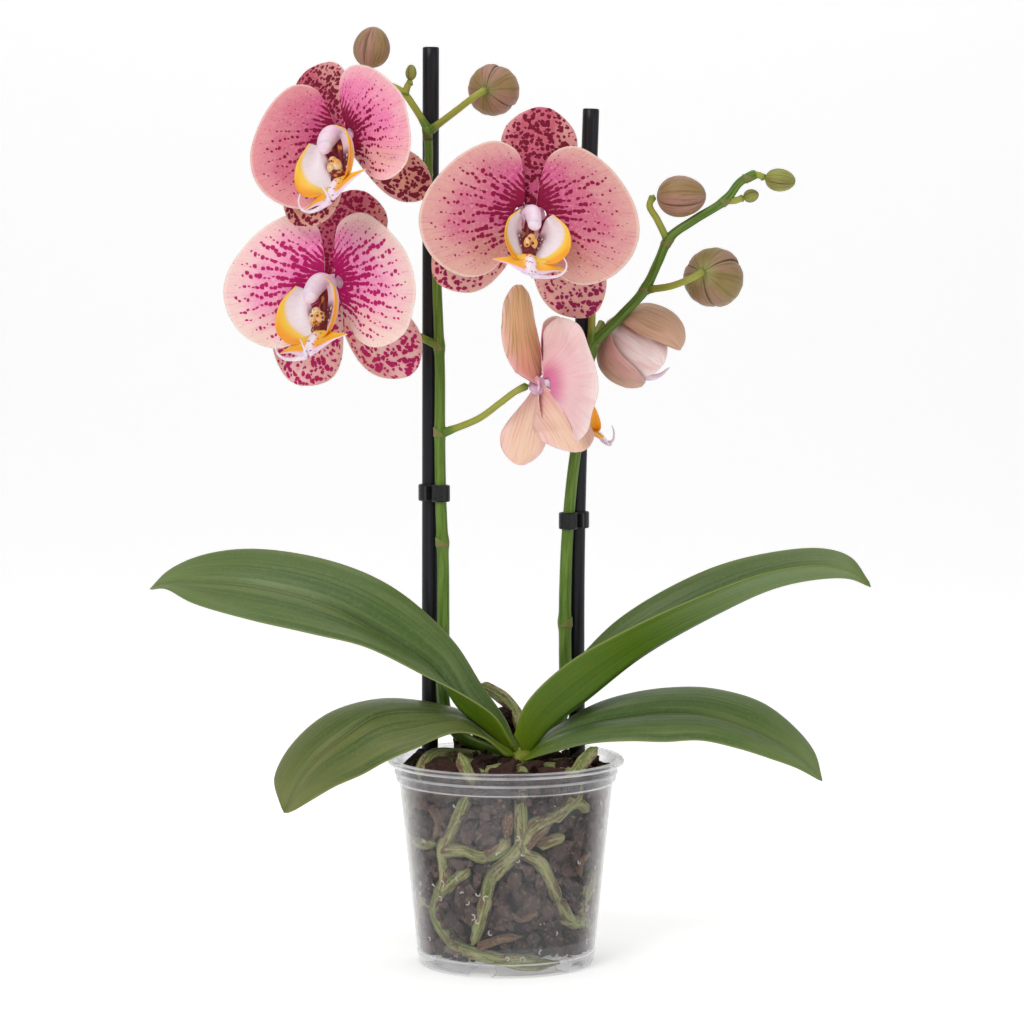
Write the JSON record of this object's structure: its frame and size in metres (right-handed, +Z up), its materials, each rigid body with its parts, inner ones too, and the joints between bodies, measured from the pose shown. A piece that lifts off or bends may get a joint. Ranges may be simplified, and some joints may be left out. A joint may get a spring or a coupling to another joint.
{
  "type": "potted orchid",
  "caption": "Moth orchid with spotted pink blooms on staked, arching spikes over broad strap leaves, rooted in bark in a clear nursery pot.",
  "frame": {"origin": "on the pot's axis at the underside of its foot ring", "axes": "+Z up along the stakes, the open blooms face -Y, the buds reach out to +X"},
  "size_m": [0.3664, 0.1237, 0.4746],
  "materials": {
    "pot": "clear, slightly grey, glossy",
    "bark": "rough, matt",
    "roots": "velvety, silvery green",
    "stem": "satin",
    "leaf": "satin, waxy",
    "spike": "satin",
    "stake": "satin",
    "clip": "glossy",
    "petals": "soft, waxy",
    "lip": "soft, waxy",
    "bud": "satin"
  },
  "bodies": {
    "root": {"pot": "pot", "bark": "bark", "roots": "roots", "stem_base": "stem", "leaf_upper_left": "leaf", "leaf_upper_right": "leaf", "leaf_lower_right": "leaf", "leaf_lower_left": "leaf", "spike_left": "spike", "spike_right": "spike", "stake_left": "stake", "stake_right": "stake", "clip_left": "clip", "clip_right": "clip", "bloom_upper_left_petals": "petals", "bloom_upper_left_lip": "lip", "bloom_lower_left_petals": "petals", "bloom_lower_left_lip": "lip", "bloom_centre_petals": "petals", "bloom_centre_lip": "lip", "bloom_side_petals": "petals", "bloom_side_lip": "lip", "bloom_opening": "petals", "bud_left_high": "bud", "bud_left_tip": "bud", "bud_left_right": "bud", "bud_right_high": "bud", "bud_right_low": "bud", "bud_right_far": "bud", "bud_right_tip": "bud"}
  },
  "joints": []
}
